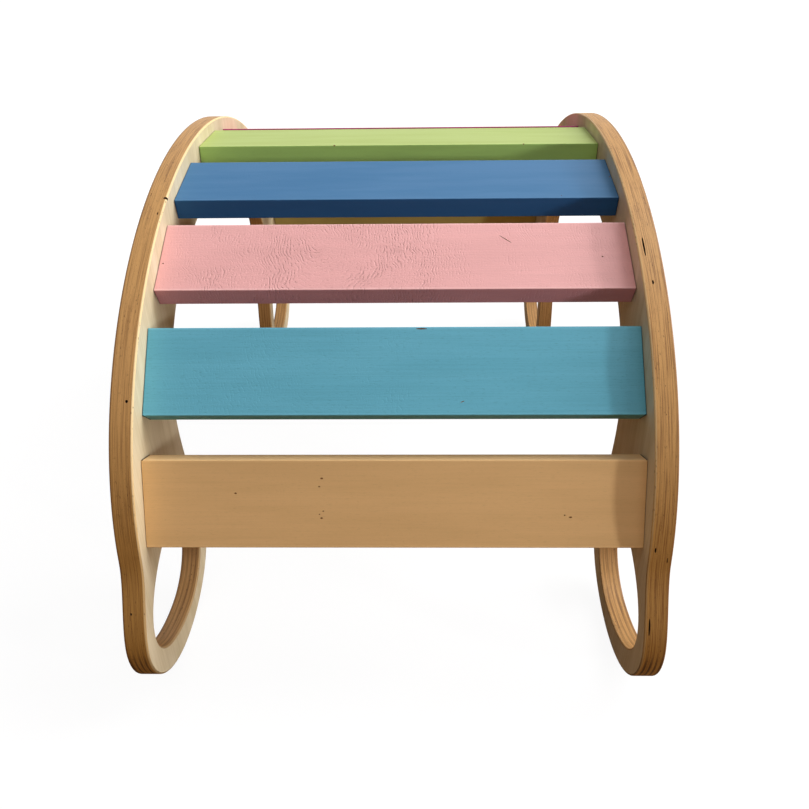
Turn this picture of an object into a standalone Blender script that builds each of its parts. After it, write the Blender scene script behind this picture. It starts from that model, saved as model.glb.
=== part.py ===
"""Wooden arch rocker for toddlers: two plywood sides joined by nine painted slats.

Metres, +Z up. X runs across the rocker along the slats, Y runs along its length,
and the origin is on the floor at the middle of its footprint. Seen from the side
the outer edge of each panel is half an ellipse that flares into a rounded foot at
both ends, and each foot has a hand hole. The slats butt against the inner faces
and are held by two confirmat screws at each end.
"""

from math import atan2, cos, pi, radians, sin, tan

import bmesh
import bpy
from mathutils import Matrix, Vector

# Overall layout
PANEL_GAP = 0.385
PANEL_THICKNESS = 0.018
EDGE_ROUND = 0.003
CLEARANCE = 0.0003

# Outer edge of the arch: half an ellipse
ARCH_HALF_SPAN = 0.3645
ARCH_RISE = 0.271
ARCH_SPRING_HEIGHT = 0.117
ARCH_END_ANGLE = 84.5

# Inner edge of the arch: half an ellipse inside the outer one
BAND_AT_CROWN = 0.063
BAND_AT_SPRING = 0.133
INNER_SPRING_HEIGHT = 0.187

# Foot: it flares out past the arch and steps in under it
FOOT_FLARE = 0.0248
FOOT_FLARE_EASE = 0.025
FOOT_TIP_HEIGHT = 0.068
FOOT_REST_FROM_TIP = 0.092
HEEL_STEP = 0.0205
HEEL_HEIGHT = 0.052
HEEL_EASE = 0.045

# Hand hole, by the wall left around it and the heights of its turning points
HOLE_TIP_WALL = 0.0196
HOLE_HEEL_WALL = 0.0212
HOLE_FLOOR_WALL = 0.0205
HOLE_TIP_HEIGHT = 0.070
HOLE_HEEL_HEIGHT = 0.062
HOLE_TOP_HEIGHT = 0.128
HOLE_FLOOR_SHIFT = 0.013
HOLE_TOP_SHIFT = 0.025

# Slats
SLAT_WIDTH = 0.070
SLAT_THICKNESS = 0.018
SLAT_ROUND = 0.0025

# Confirmat screws: two at each slat end
SCREW_LENGTH = 0.050
SCREW_SHANK_RADIUS = 0.0035
SCREW_HEAD_RADIUS = 0.005
SCREW_HEAD_CONE = 0.003
SCREW_POINT = 0.005
SCREW_SINK = 0.0005
SCREW_SPACING = 0.040
SCREW_SIDES = 12

# Fineness of the curves
OUTLINE_STEPS = 10
ARC_KNOTS = 3
EDGE_STEPS = 1
SLAT_ROUND_STEPS = 3
SMOOTH_ANGLE = 40
MERGE_DISTANCE = 0.00002

# Where the slats sit, from the crown down to either end: the station angle along the
# outer ellipse in degrees, how far the slat's face lies inside that edge, and how many
# degrees more the slat leans than the edge does there.
SLAT_STATIONS = (
    (0.0, 0.0115, 0.0),
    (17.1, 0.0136, -0.4),
    (34.2, 0.0165, 1.6),
    (53.5, 0.0195, 2.3),
    (75.5, 0.0182, -2.9),
)

# The slats from the near end to the far end, each with its finish
SLATS = (
    ("slat_1_natural", "natural_pine"),
    ("slat_2_teal", "paint_teal"),
    ("slat_3_pink", "paint_pink"),
    ("slat_4_blue", "paint_blue"),
    ("slat_5_lime", "paint_lime"),
    ("slat_6_magenta", "paint_magenta"),
    ("slat_7_orange", "paint_orange"),
    ("slat_8_lilac", "paint_lilac"),
    ("slat_9_yellow", "paint_yellow"),
)

# Finishes: linear base colour, roughness and metallic value
FINISHES = {
    "birch_plywood": ((0.60, 0.42, 0.24), 0.45, 0.0),
    "natural_pine": ((0.62, 0.40, 0.20), 0.45, 0.0),
    "paint_teal": ((0.11, 0.33, 0.43), 0.40, 0.0),
    "paint_pink": ((0.78, 0.40, 0.40), 0.40, 0.0),
    "paint_blue": ((0.09, 0.24, 0.45), 0.40, 0.0),
    "paint_lime": ((0.54, 0.66, 0.22), 0.40, 0.0),
    "paint_magenta": ((0.40, 0.07, 0.20), 0.40, 0.0),
    "paint_orange": ((0.80, 0.33, 0.10), 0.40, 0.0),
    "paint_lilac": ((0.42, 0.30, 0.58), 0.40, 0.0),
    "paint_yellow": ((0.80, 0.60, 0.12), 0.40, 0.0),
    "zinc_plated_steel": ((0.62, 0.62, 0.60), 0.30, 1.0),
}

# Sizes that follow from the ones above
SLAT_LENGTH = PANEL_GAP - 2 * CLEARANCE
PANEL_CENTRE = PANEL_GAP / 2 + PANEL_THICKNESS / 2
PANEL_OUTER_FACE = PANEL_GAP / 2 + PANEL_THICKNESS
CROWN_HEIGHT = ARCH_SPRING_HEIGHT + ARCH_RISE
INNER_HALF_SPAN = ARCH_HALF_SPAN - BAND_AT_SPRING
INNER_RISE = CROWN_HEIGHT - BAND_AT_CROWN - INNER_SPRING_HEIGHT
FOOT_TIP = ARCH_HALF_SPAN + FOOT_FLARE
FOOT_REST = FOOT_TIP - FOOT_REST_FROM_TIP
HEEL = INNER_HALF_SPAN - HEEL_STEP
CROWN_SLAT = len(SLATS) // 2

# Reach of a Bezier handle that makes a quarter of an ellipse, as a share of its half axis
QUARTER = 4 / 3 * tan(radians(90) / 4)

# How far a corner of the screw head's cone moves down for each length it grows outwards
CONE_SHIFT = tan(atan2(SCREW_HEAD_RADIUS - SCREW_SHANK_RADIUS, SCREW_HEAD_CONE) / 2)


def clear_scene():
    """Remove every object and collection that the file starts with."""
    for obj in list(bpy.data.objects):
        bpy.data.objects.remove(obj, do_unlink=True)
    for group in list(bpy.data.collections):
        bpy.data.collections.remove(group)


def new_collection(name):
    """Return a new collection linked to the scene."""
    group = bpy.data.collections.new(name)
    bpy.context.scene.collection.children.link(group)
    return group


def new_material(name):
    """Return a Principled material for one finish."""
    colour, roughness, metallic = FINISHES[name]
    material = bpy.data.materials.new(name)
    material.use_nodes = True
    shader = material.node_tree.nodes["Principled BSDF"]
    shader.inputs["Base Color"].default_value = (*colour, 1.0)
    shader.inputs["Roughness"].default_value = roughness
    shader.inputs["Metallic"].default_value = metallic
    material.diffuse_color = (*colour, 1.0)
    return material


def ellipse_knots(half_span, rise, centre_height, start, end, pieces):
    """Bezier knots along an ellipse, as (point, handle before, handle after).

    Angles are in degrees from the crown towards the near end, which is at -Y.
    """
    step = radians(end - start) / pieces
    reach = 4 / 3 * tan(step / 4)
    knots = []
    for index in range(pieces + 1):
        angle = radians(start) + index * step
        point = Vector((-half_span * sin(angle), centre_height + rise * cos(angle)))
        along = Vector((-half_span * cos(angle), -rise * sin(angle))) * reach
        knots.append((point, point - along, point + along))
    return knots


def near_half_outline():
    """Knots of the near half of a panel's edge, from outer crown to inner crown."""
    knots = ellipse_knots(
        ARCH_HALF_SPAN, ARCH_RISE, ARCH_SPRING_HEIGHT, 0, ARCH_END_ANGLE, ARC_KNOTS
    )
    inner = ellipse_knots(
        INNER_HALF_SPAN, INNER_RISE, INNER_SPRING_HEIGHT, 90, 0, ARC_KNOTS
    )
    point, before, after = knots[-1]
    down = (after - point).normalized()
    knots[-1] = (point, before, point + down * FOOT_FLARE_EASE)
    tip = Vector((-FOOT_TIP, FOOT_TIP_HEIGHT))
    knots.append((
        tip,
        tip + Vector((0, FOOT_FLARE_EASE)),
        tip - Vector((0, FOOT_TIP_HEIGHT * QUARTER)),
    ))
    rest = Vector((-FOOT_REST, 0))
    knots.append((
        rest,
        rest - Vector((FOOT_REST_FROM_TIP * QUARTER, 0)),
        rest + Vector(((FOOT_REST - HEEL) * QUARTER, 0)),
    ))
    heel = Vector((-HEEL, HEEL_HEIGHT))
    knots.append((
        heel,
        heel - Vector((0, HEEL_HEIGHT * QUARTER)),
        heel + Vector((0, HEEL_EASE)),
    ))
    point, before, after = inner[0]
    inner[0] = (point, point - Vector((0, HEEL_EASE)), after)
    return knots + inner


def mirrored(knots):
    """The same knots on the far half, in the opposite order."""
    flip = Vector((-1, 1))
    return [(p * flip, after * flip, before * flip) for p, before, after in reversed(knots)]


def hole_knots():
    """Knots of the near foot's egg-shaped hand hole."""
    tip = Vector((-FOOT_TIP + HOLE_TIP_WALL, HOLE_TIP_HEIGHT))
    heel = Vector((-HEEL - HOLE_HEEL_WALL, HOLE_HEEL_HEIGHT))
    floor = Vector((-FOOT_REST + HOLE_FLOOR_SHIFT, HOLE_FLOOR_WALL))
    top = Vector((-FOOT_REST + HOLE_TOP_SHIFT, HOLE_TOP_HEIGHT))
    up = Vector((0, QUARTER))
    out = Vector((-QUARTER, 0))
    return [
        (tip, tip + up * (top.y - tip.y), tip - up * (tip.y - floor.y)),
        (floor, floor + out * (floor.x - tip.x), floor - out * (heel.x - floor.x)),
        (heel, heel - up * (heel.y - floor.y), heel + up * (top.y - heel.y)),
        (top, top - out * (heel.x - top.x), top + out * (top.x - tip.x)),
    ]


def add_spline(curve, knots):
    """Add one closed Bezier spline through the knots."""
    spline = curve.splines.new("BEZIER")
    spline.bezier_points.add(len(knots) - 1)
    for bezier, (point, before, after) in zip(spline.bezier_points, knots):
        bezier.handle_left_type = "FREE"
        bezier.handle_right_type = "FREE"
        bezier.co = (*point, 0)
        bezier.handle_left = (*before, 0)
        bezier.handle_right = (*after, 0)
    spline.use_cyclic_u = True
    spline.resolution_u = OUTLINE_STEPS


def panel_mesh():
    """Mesh of one panel: its outline with both hand holes, rounded along every edge."""
    curve = bpy.data.curves.new("panel_outline", "CURVE")
    curve.dimensions = "2D"
    curve.fill_mode = "BOTH"
    curve.extrude = PANEL_THICKNESS / 2 - EDGE_ROUND
    curve.bevel_depth = EDGE_ROUND
    curve.bevel_resolution = EDGE_STEPS
    curve.offset = -EDGE_ROUND
    half = near_half_outline()
    add_spline(curve, half + mirrored(half)[1:-1])
    add_spline(curve, hole_knots())
    add_spline(curve, mirrored(hole_knots()))
    outline = bpy.data.objects.new("panel_outline", curve)
    bpy.context.scene.collection.objects.link(outline)
    graph = bpy.context.evaluated_depsgraph_get()
    mesh = bpy.data.meshes.new_from_object(outline.evaluated_get(graph))
    bpy.data.objects.remove(outline, do_unlink=True)
    bm = bmesh.new()
    bm.from_mesh(mesh)
    bmesh.ops.remove_doubles(bm, verts=bm.verts, dist=MERGE_DISTANCE)
    bmesh.ops.recalc_face_normals(bm, faces=bm.faces)
    bm.to_mesh(mesh)
    bm.free()
    return mesh


def slat_mesh():
    """Mesh of one slat, with its four long edges rounded over."""
    bm = bmesh.new()
    size = Matrix.Diagonal((SLAT_LENGTH, SLAT_WIDTH, SLAT_THICKNESS, 1))
    bmesh.ops.create_cube(bm, size=1, matrix=size)
    long_edges = [e for e in bm.edges if e.calc_length() > SLAT_LENGTH - MERGE_DISTANCE]
    bmesh.ops.bevel(
        bm,
        geom=long_edges,
        offset=SLAT_ROUND,
        segments=SLAT_ROUND_STEPS,
        profile=0.5,
        affect="EDGES",
    )
    mesh = bpy.data.meshes.new("slat")
    bm.to_mesh(mesh)
    bm.free()
    return mesh


def profile_mesh(name, points):
    """Mesh of an open profile in the XZ plane, ready for a Screw modifier."""
    mesh = bpy.data.meshes.new(name)
    edges = [(i, i + 1) for i in range(len(points) - 1)]
    mesh.from_pydata([(x, 0, z) for x, z in points], edges, [])
    return mesh


def turn(obj):
    """Turn an object's profile about its own Z axis."""
    screw = obj.modifiers.new("Turn", "SCREW")
    screw.axis = "Z"
    screw.angle = radians(360)
    screw.screw_offset = 0
    screw.steps = SCREW_SIDES
    screw.render_steps = SCREW_SIDES
    screw.use_merge_vertices = True
    screw.merge_threshold = MERGE_DISTANCE


def screw_profile(grow, above):
    """Outer side of a screw, grown all round, with its head raised above its own top.

    With both at nothing it is the screw itself, from the middle of its head to its point.
    """
    shift = grow * CONE_SHIFT
    points = [(0, above), (SCREW_HEAD_RADIUS + grow, above)]
    if above > 0:
        points.append((SCREW_HEAD_RADIUS + grow, -shift))
    points.append((SCREW_SHANK_RADIUS + grow, -SCREW_HEAD_CONE - shift))
    points.append((SCREW_SHANK_RADIUS + grow, SCREW_POINT - SCREW_LENGTH))
    points.append((0, -SCREW_LENGTH - grow))
    return points


def slat_place(index):
    """Centre and tilt of a slat, counted from the near end.

    The tilt is the rotation about X that lays the slat's width along the arch.
    """
    station, inset, lean = SLAT_STATIONS[abs(index - CROWN_SLAT)]
    end = 1 if index > CROWN_SLAT else -1
    angle = end * radians(station)
    point = Vector((ARCH_HALF_SPAN * sin(angle), ARCH_SPRING_HEIGHT + ARCH_RISE * cos(angle)))
    slope = atan2(-ARCH_RISE * sin(angle), ARCH_HALF_SPAN * cos(angle))
    tilt = slope - end * radians(lean)
    face = point - Vector((-sin(slope), cos(slope))) * inset
    centre = face - Vector((-sin(tilt), cos(tilt))) * SLAT_THICKNESS / 2
    return centre, tilt


def screw_places(side, side_name):
    """Name and place of every screw in one panel, with its head at the outer face."""
    places = []
    for index in range(len(SLATS)):
        centre, tilt = slat_place(index)
        along = Vector((cos(tilt), sin(tilt)))
        for end, letter in ((-1, "a"), (1, "b")):
            spot = centre + along * end * SCREW_SPACING / 2
            head = Vector((side * (PANEL_OUTER_FACE - SCREW_SINK), spot.x, spot.y))
            place = Matrix.Translation(head) @ Matrix.Rotation(side * pi / 2, 4, "Y")
            places.append((f"screw_{side_name}_{index + 1}{letter}", place))
    return places


def add_object(name, mesh, group, material, place):
    """Link a new object with its own material slot."""
    obj = bpy.data.objects.new(name, mesh)
    obj.matrix_world = place
    group.objects.link(obj)
    if not mesh.materials:
        mesh.materials.append(None)
    obj.material_slots[0].link = "OBJECT"
    obj.material_slots[0].material = material
    return obj


def hole_cutter(name, places, hole, group):
    """One cutter object that holds a screw hole at each of the places."""
    bm = bmesh.new()
    for _name, place in places:
        copy = hole.copy()
        copy.transform(place)
        bm.from_mesh(copy)
        bpy.data.meshes.remove(copy)
    mesh = bpy.data.meshes.new(name)
    bm.to_mesh(mesh)
    bm.free()
    cutter = bpy.data.objects.new(name, mesh)
    cutter.hide_render = True
    cutter.display_type = "WIRE"
    group.objects.link(cutter)
    return cutter


def turned_cutter_mesh():
    """Mesh of one screw's clearance hole, open above its head."""
    above = SCREW_SINK + EDGE_ROUND
    profile = profile_mesh("screw_hole", screw_profile(CLEARANCE, above))
    blank = bpy.data.objects.new("screw_hole", profile)
    bpy.context.scene.collection.objects.link(blank)
    turn(blank)
    graph = bpy.context.evaluated_depsgraph_get()
    mesh = bpy.data.meshes.new_from_object(blank.evaluated_get(graph))
    bpy.data.objects.remove(blank, do_unlink=True)
    return mesh


def cut(obj, cutter):
    """Cut the screw holes out of an object."""
    boolean = obj.modifiers.new(cutter.name, "BOOLEAN")
    boolean.operation = "DIFFERENCE"
    boolean.solver = "EXACT"
    boolean.object = cutter


def smooth_round_parts(mesh):
    """Shade a mesh smooth, with its sharp edges kept crisp."""
    mesh.shade_smooth()
    mesh.set_sharp_from_angle(angle=radians(SMOOTH_ANGLE))


def build():
    """Build the whole rocker."""
    clear_scene()
    parts = new_collection("arch_rocker")
    cutters = new_collection("arch_rocker_cutters")
    materials = {name: new_material(name) for name in FINISHES}
    panel = panel_mesh()
    smooth_round_parts(panel)
    hole = turned_cutter_mesh()
    screw = profile_mesh("confirmat_screw", screw_profile(0, 0))
    upright = Matrix.Rotation(pi / 2, 4, "Z") @ Matrix.Rotation(pi / 2, 4, "X")
    holes = []
    for side, side_name in ((-1, "left"), (1, "right")):
        places = screw_places(side, side_name)
        cutter = hole_cutter(f"screw_holes_{side_name}", places, hole, cutters)
        holes.append(cutter)
        place = Matrix.Translation((side * PANEL_CENTRE, 0, 0)) @ upright
        name = f"side_panel_{side_name}"
        cut(add_object(name, panel, parts, materials["birch_plywood"], place), cutter)
        for name, place in places:
            turn(add_object(name, screw, parts, materials["zinc_plated_steel"], place))

    board = slat_mesh()
    smooth_round_parts(board)
    for index, (name, finish) in enumerate(SLATS):
        centre, tilt = slat_place(index)
        place = Matrix.Translation((0, centre.x, centre.y)) @ Matrix.Rotation(tilt, 4, "X")
        obj = add_object(name, board, parts, materials[finish], place)
        for cutter in holes:
            cut(obj, cutter)


if __name__ == "__main__":
    build()
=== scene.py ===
"""Looks of the toddler arch rocker: two birch plywood sides and nine slats, in the studio.

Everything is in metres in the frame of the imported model: +Z up, X across the rocker,
Y along it, origin on the floor. The plywood sides, the slats and the screws are built
again here as finer meshes and stand for the plain solids of the frame.
"""

import logging
import math
from dataclasses import dataclass
from enum import Enum
from itertools import product

import bmesh
import bpy
from bmesh.types import BMEdge, BMesh, BMVert
from bpy.types import Material, Mesh, Node, NodeSocket, NodeTree, Object
from mathutils import Matrix, Vector
from mathutils.geometry import interpolate_bezier
from mathutils.kdtree import KDTree


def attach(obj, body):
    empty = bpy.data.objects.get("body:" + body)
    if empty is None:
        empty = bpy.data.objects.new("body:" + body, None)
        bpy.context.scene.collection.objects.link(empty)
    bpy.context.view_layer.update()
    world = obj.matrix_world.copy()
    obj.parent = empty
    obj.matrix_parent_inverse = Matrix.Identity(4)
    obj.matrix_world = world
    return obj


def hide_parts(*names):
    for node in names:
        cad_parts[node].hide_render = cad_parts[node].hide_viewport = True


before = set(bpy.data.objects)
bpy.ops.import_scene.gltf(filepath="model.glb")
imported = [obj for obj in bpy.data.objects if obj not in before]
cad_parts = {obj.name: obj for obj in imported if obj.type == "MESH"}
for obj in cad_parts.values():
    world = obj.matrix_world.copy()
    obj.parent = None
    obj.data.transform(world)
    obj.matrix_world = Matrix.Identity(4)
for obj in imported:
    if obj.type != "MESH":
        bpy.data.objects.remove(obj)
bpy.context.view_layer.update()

log = logging.getLogger("arch_rocker")

MM = 0.001
LEFT_TO_RIGHT = (-100 * MM, 100 * MM)
NEAR_TO_FAR = (-50 * MM, 50 * MM)
# Above these shares a length or a normal counts as lying along X.
NEARLY = 0.9
FULLY = 0.999
# Faces that turn less than this from each other share their shading.
SAME_SIDE = math.cos(math.radians(60))
# Faces whose normals round to the same thousandths face the same way.
FACING_STEPS = 1000

Knot = tuple[Vector, Vector, Vector]


class Side(Enum):
    """The two plywood sides, with the way each one lies along X."""

    LEFT = -1
    RIGHT = 1


class Slot(Enum):
    """Material slots of the record."""

    PLYWOOD = "birch_plywood"
    PINE = "natural_pine"
    TEAL = "paint_teal"
    PINK = "paint_pink"
    BLUE = "paint_blue"
    LIME = "paint_lime"
    MAGENTA = "paint_magenta"
    ORANGE = "paint_orange"
    LILAC = "paint_lilac"
    YELLOW = "paint_yellow"
    ZINC = "zinc_plated_steel"


class Kind(Enum):
    """Kinds of shader node in use: the type after "ShaderNode", and the settings."""

    COORDINATES = ("TexCoord", {})
    ALONG = ("Attribute", {"attribute_name": "along"})
    FACING_UP = ("Attribute", {"attribute_name": "facing_up"})
    IN_HOLE = ("Attribute", {"attribute_name": "in_hole"})
    SPLIT = ("SeparateXYZ", {})
    JOIN = ("CombineXYZ", {})
    PLACE = ("Mapping", {"vector_type": "POINT"})
    SHIFT = ("VectorMath", {"operation": "ADD"})
    CENTRE = ("VectorMath", {"operation": "SUBTRACT"})
    STRETCH = ("VectorMath", {"operation": "MULTIPLY"})
    LENGTH = ("VectorMath", {"operation": "LENGTH"})
    ADD = ("Math", {"operation": "ADD"})
    SUBTRACT = ("Math", {"operation": "SUBTRACT"})
    MULTIPLY = ("Math", {"operation": "MULTIPLY"})
    MULTIPLY_ADD = ("Math", {"operation": "MULTIPLY_ADD"})
    DIVIDE = ("Math", {"operation": "DIVIDE"})
    MAXIMUM = ("Math", {"operation": "MAXIMUM"})
    ABSOLUTE = ("Math", {"operation": "ABSOLUTE"})
    FRACT = ("Math", {"operation": "FRACT"})
    SMOOTH = ("MapRange", {"interpolation_type": "SMOOTHSTEP"})
    NOISE = ("TexNoise", {})
    MIX = ("Mix", {"data_type": "RGBA"})
    TINT = ("Mix", {"data_type": "RGBA", "blend_type": "MULTIPLY"})
    BETWEEN = ("Mix", {"data_type": "FLOAT"})
    BUMP = ("Bump", {})
    LIGHT_PATH = ("LightPath", {})
    DIFFUSE = ("BsdfDiffuse", {})
    GLOW = ("Emission", {})
    BOTH = ("AddShader", {})
    EITHER = ("MixShader", {})


def linear(hex_colour: str) -> tuple[float, float, float, float]:
    """Turn an sRGB hex colour into linear values.

    Args:
        hex_colour: The colour, such as "D9A066".

    Returns:
        Red, green, blue and alpha, linear.
    """
    def channel(pair: str) -> float:
        """Linear value of one pair of hex digits."""
        value = int(pair, 16) / 255
        return value / 12.92 if value <= 0.04045 else ((value + 0.055) / 1.055) ** 2.4

    return (channel(hex_colour[0:2]), channel(hex_colour[2:4]), channel(hex_colour[4:6]), 1.0)


def toned(hex_colour: str, gain: float, lift: float = 0.0) -> tuple[float, float, float, float]:
    """Linear values of a colour made paler or deeper.

    Args:
        hex_colour: The colour in sRGB.
        gain: What its linear values are multiplied by.
        lift: What is then added.

    Returns:
        Red, green, blue and alpha, linear, and 1 at most.
    """
    red, green, blue = (min(1.0, gain * value + lift) for value in linear(hex_colour)[:3])
    return (red, green, blue, 1.0)


def feed(tree: NodeTree, socket: NodeSocket, value: object) -> None:
    """Fill one input of a node.

    Args:
        tree: The tree that the node is in.
        socket: The input.
        value: A value, a socket to link from, a node to link from by its first output
            in use, or None to leave the input as it is.
    """
    if isinstance(value, Node):
        value = next(output for output in value.outputs if output.enabled)
    if isinstance(value, NodeSocket):
        tree.links.new(value, socket)
    elif value is not None:
        socket.default_value = value


def add_node(tree: NodeTree, kind: Kind, *values: object) -> Node:
    """Add a shader node with its settings and links.

    Args:
        tree: The node tree of a material or of the world.
        kind: Which node to add.
        values: What fills the inputs in use, in their order; see feed.

    Returns:
        The new node.
    """
    name, settings = kind.value
    node = tree.nodes.new(f"ShaderNode{name}")
    for setting, value in settings.items():
        setattr(node, setting, value)
    for socket, value in zip([socket for socket in node.inputs if socket.enabled], values):
        feed(tree, socket, value)
    return node


class Shade:
    """A Principled material under construction."""

    def __init__(self, name: str) -> None:
        """Start the material.

        Args:
            name: Name of the finish.
        """
        self.material = bpy.data.materials.new(name)
        self.material.use_nodes = True
        self.tree = self.material.node_tree

    def add(self, kind: Kind, *values: object) -> Node:
        """Add a node to the material, as add_node does."""
        return add_node(self.tree, kind, *values)

    def times(self, first: object, *others: object) -> object:
        """Multiply several values together.

        Args:
            first: The first value, socket or node.
            others: What it is multiplied by, one after the other.

        Returns:
            The node that gives the product.
        """
        for other in others:
            first = self.add(Kind.MULTIPLY, first, other)
        return first

    def grain(self, coords: object, stretch: tuple[float, float, float], size: float,
              detail: float, rough: float, bend: float = 0.0) -> Node:
        """Draw blotches that are drawn out along the wood's grain.

        Args:
            coords: The coordinates in metres.
            stretch: Below 1 along the axis that the blotches are drawn out on.
            size: Size of one blotch across the grain, in metres.
            detail: Octaves of the noise.
            rough: Share of each finer octave.
            bend: How much the blotches are bent.

        Returns:
            The noise node; its value is around 0.5.
        """
        drawn_out = self.add(Kind.STRETCH, coords, stretch)
        return self.add(Kind.NOISE, drawn_out, 1 / size, detail, rough, None, bend)

    def finish(self, **sockets: object) -> Material:
        """Fill the Principled sockets.

        Args:
            sockets: What fills each socket, by its name; an underscore stands for a space.

        Returns:
            The finished material.
        """
        shader = self.tree.nodes["Principled BSDF"]
        for name, value in sockets.items():
            feed(self.tree, shader.inputs[name.replace("_", " ")], value)
        return self.material


@dataclass(frozen=True)
class Arch:
    """Sizes that the sides, slats and screws share, in metres.

    A station says, for the slats on both sides of the crown one, the angle along the
    arch, how deep the slat's face lies under the outer curve, and its lean in degrees.
    """

    gap: float = 0.385
    thickness: float = 0.018
    clearance: float = 0.0003
    half_span: float = 0.3645
    rise: float = 0.271
    spring_height: float = 0.117
    end_angle: float = 84.5
    band_at_crown: float = 0.063
    band_at_spring: float = 0.133
    inner_spring_height: float = 0.187
    slat_width: float = 0.070
    slat_thickness: float = 0.018
    screw_spacing: float = 0.040
    screw_sink: float = 0.0005
    stations: tuple[tuple[float, float, float], ...] = (
        (0.0, 0.0115, 0.0),
        (17.1, 0.0136, -0.4),
        (34.2, 0.0165, 1.6),
        (53.5, 0.0195, 2.3),
        (75.5, 0.0182, -2.9),
    )

    @property
    def outer_face(self) -> float:
        """Distance from the middle of the rocker to a side's outer face."""
        return self.gap / 2 + self.thickness

    @property
    def slat_length(self) -> float:
        """Length of a slat between the sides."""
        return self.gap - 2 * self.clearance

    @property
    def inner_half(self) -> float:
        """Half span of the arch's inner curve."""
        return self.half_span - self.band_at_spring

    def slat_place(self, number: int) -> tuple[float, float, float]:
        """Where a slat sits.

        Args:
            number: The slat, 1 at the near end and 9 at the far end.

        Returns:
            Y and Z of its middle, and its tilt about X in radians.
        """
        crown = len(self.stations)
        station, inset, lean = self.stations[abs(number - crown)]
        end = 1 if number > crown else -1
        angle = end * math.radians(station)
        y = self.half_span * math.sin(angle)
        z = self.spring_height + self.rise * math.cos(angle)
        slope = math.atan2(-self.rise * math.sin(angle), self.half_span * math.cos(angle))
        tilt = slope - end * math.radians(lean)
        y += math.sin(slope) * inset + math.sin(tilt) * self.slat_thickness / 2
        z -= math.cos(slope) * inset + math.cos(tilt) * self.slat_thickness / 2
        return y, z, tilt

    def slat_matrix(self, number: int) -> Matrix:
        """Placement of a slat that is modelled flat around the origin."""
        y, z, tilt = self.slat_place(number)
        return Matrix.Translation((0, y, z)) @ Matrix.Rotation(tilt, 4, "X")

    def screw_place(self, number: int, end: int) -> tuple[float, float]:
        """Where a screw sits.

        Args:
            number: The slat that it holds.
            end: -1 for the near screw of the slat's pair, 1 for the far one.

        Returns:
            Y and Z of its axis.
        """
        y, z, tilt = self.slat_place(number)
        shift = end * self.screw_spacing / 2
        return y + math.cos(tilt) * shift, z + math.sin(tilt) * shift

    def screw_places(self) -> list[tuple[float, float]]:
        """Y and Z of the axes of all the screws in one side."""
        numbers = range(1, 2 * len(self.stations))
        return [self.screw_place(number, end) for number in numbers for end in (-1, 1)]


def close_loop(bm: BMesh, points: list[Vector]) -> list[BMEdge]:
    """Add a closed chain of vertices and edges.

    Args:
        bm: The mesh to add to.
        points: Points round the loop, without the first one again at the end.

    Returns:
        The edges of the loop.
    """
    verts = [bm.verts.new(point) for point in points]
    return [bm.edges.new((verts[i - 1], verts[i])) for i in range(len(verts))]


def round_edges(bm: BMesh, edges: list[BMEdge], radius: float, segments: int) -> None:
    """Round the given edges over.

    Args:
        bm: The mesh to change.
        edges: Edges to round.
        radius: Radius in metres.
        segments: Facets across the rounding.
    """
    bmesh.ops.bevel(bm, geom=edges, offset=radius, offset_type="OFFSET", segments=segments,
                    profile=0.5, affect="EDGES", material=-1, clamp_overlap=True)


def add_object(name: str, data: bpy.types.ID) -> Object:
    """Add an object to the scene.

    Args:
        name: Its name.
        data: Its mesh, lamp or camera.

    Returns:
        The object.
    """
    thing = bpy.data.objects.new(name, data)
    bpy.context.scene.collection.objects.link(thing)
    return thing


def take_mesh(name: str, bm: BMesh) -> Mesh:
    """Turn a bmesh into a mesh.

    Args:
        name: Name of the mesh.
        bm: The finished bmesh, which is freed.

    Returns:
        The mesh.
    """
    mesh = bpy.data.meshes.new(name)
    bm.to_mesh(mesh)
    bm.free()
    return mesh


def carve(bm: BMesh, marks: list[Matrix], slot: int = 1) -> BMesh:
    """Cut small hollows out of a closed mesh.

    Args:
        bm: The mesh to cut, which is freed.
        marks: For each hollow, the placement and half sizes of the ellipsoid that cuts it.
        slot: Material index of the new faces.

    Returns:
        The cut mesh.
    """
    blade = bmesh.new()
    for mark in marks:
        bmesh.ops.create_icosphere(blade, subdivisions=2, radius=1, matrix=mark)
    for face in blade.faces:
        face.material_index = slot
    parts = []
    for label, source in (("carved", bm), ("blade", blade)):
        mesh = take_mesh(label, source)
        for _ in range(slot + 1):
            mesh.materials.append(None)
        parts.append(add_object(label, mesh))
    body, tool = parts
    cut = body.modifiers.new("hollows", "BOOLEAN")
    cut.operation = "DIFFERENCE"
    cut.solver = "EXACT"
    cut.object = tool
    evaluated = body.evaluated_get(bpy.context.evaluated_depsgraph_get())
    result = bpy.data.meshes.new_from_object(evaluated)
    carved = bmesh.new()
    carved.from_mesh(result)
    bpy.data.meshes.remove(result)
    for part in parts:
        mesh = part.data
        bpy.data.objects.remove(part)
        bpy.data.meshes.remove(mesh)
    return carved


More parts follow.
